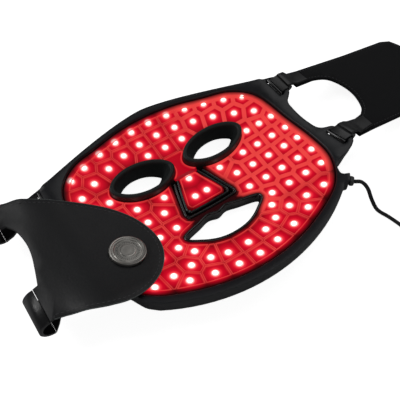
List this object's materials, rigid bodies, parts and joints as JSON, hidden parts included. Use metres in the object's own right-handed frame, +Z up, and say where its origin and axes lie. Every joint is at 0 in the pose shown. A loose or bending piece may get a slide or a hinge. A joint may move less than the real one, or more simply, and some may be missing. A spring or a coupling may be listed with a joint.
{
  "type": "led face mask",
  "caption": "Flexible light-therapy face mask lying open: lit inner face with LED cells, eye and mouth openings, hinged nose flap, slotted tabs, two head straps and a lead.",
  "frame": {"origin": "flat spot of the shell's outer face between nose and mouth, on the table", "axes": "+X towards the cheek where the lead leaves, +Y towards the forehead, +Z up, out of the lit inner face"},
  "size_m": [0.4187, 0.244, 0.0341],
  "materials": {
    "black_silicone": "satin moulded silicone",
    "red_silicone": "translucent silicone, lit red from behind",
    "flex_board": "flexible printed circuit",
    "led_plastic": "lit LED packages",
    "chip_board": "solder mask",
    "black_pin": "glossy black",
    "strap_leather": "semi-gloss artificial leather with a fine grain",
    "velour": "short-pile loop velour",
    "hook_tape": "hook tape",
    "steel": "brushed",
    "lead_rubber": "matte"
  },
  "bodies": {
    "mask": {"outer_shell": "black_silicone", "face_circuit": "flex_board", "face_liner": "red_silicone", "led_strip_brow_upper": "led_plastic", "led_strip_brow_middle": "led_plastic", "led_strip_brow_lower": "led_plastic", "led_strip_temple_left": "led_plastic", "led_strip_temple_right": "led_plastic", "led_strip_under_eye_left": "led_plastic", "led_strip_under_eye_right": "led_plastic", "led_strip_cheek_upper_left": "led_plastic", "led_strip_cheek_upper_right": "led_plastic", "led_strip_cheek_middle_left": "led_plastic", "led_strip_cheek_middle_right": "led_plastic", "led_strip_cheek_lower_left": "led_plastic", "led_strip_cheek_lower_right": "led_plastic", "led_strip_jaw_left": "led_plastic", "led_strip_jaw_right": "led_plastic", "led_strip_lip_arc": "led_plastic", "led_strip_chin_arc": "led_plastic", "eye_cup_left": "black_silicone", "eye_cup_right": "black_silicone", "mouth_lip": "black_silicone", "nose_slot_rim": "black_silicone", "strap_loop_left_upper": "strap_leather", "strap_loop_left_lower": "strap_leather", "strap_loop_right_upper": "strap_leather", "strap_loop_right_lower": "strap_leather", "slot_pin_left_upper": "black_pin", "slot_pin_left_lower": "black_pin", "slot_pin_right_upper": "black_pin", "slot_pin_right_lower": "black_pin", "strap_run_left_upper": "strap_leather", "strap_run_left_lower": "strap_leather", "strap_bend_upper_low": "strap_leather", "strap_bend_lower_low": "strap_leather", "driver_board": "chip_board", "cable_clamp": "lead_rubber", "strain_relief": "lead_rubber", "lead_free": "lead_rubber", "lead_coil": "lead_rubber", "lead_tail": "lead_rubber", "plug_body": "lead_rubber", "plug_shell": "steel"},
    "nose_flap_body": {"nose_flap": "black_silicone", "nose_flap_rim": "black_silicone", "nose_circuit": "flex_board", "nose_led_strip": "led_plastic", "nose_liner": "red_silicone"},
    "left_panel": {"strap_panel": "strap_leather", "panel_lining": "velour", "hook_patch": "hook_tape", "badge": "steel", "strap_bend_upper_high": "strap_leather", "strap_bend_lower_high": "strap_leather"},
    "right_strap": {"strap_band": "velour", "strap_strip_upper": "strap_leather", "strap_strip_lower": "strap_leather"}
  },
  "joints": [
    {"name": "nose_flap_hinge", "type": "hinge", "parent": "mask", "child": "nose_flap_body", "pos_m": [0, 0.03675, 0.0048], "axis": [-1, 0, 0], "range_deg": [-18, 25]},
    {"name": "right_strap_hinge", "type": "hinge", "parent": "mask", "child": "right_strap", "pos_m": [0.12544, 0.02695, 0.02397], "axis": [0.0814, -0.9961, -0.0331], "range_deg": [0, 90]},
    {"name": "left_strap_fold", "type": "hinge", "parent": "mask", "child": "left_panel", "pos_m": [-0.1512, 0.02625, 0.02], "axis": [0, -1, 0], "range_deg": [0, 180]}
  ]
}
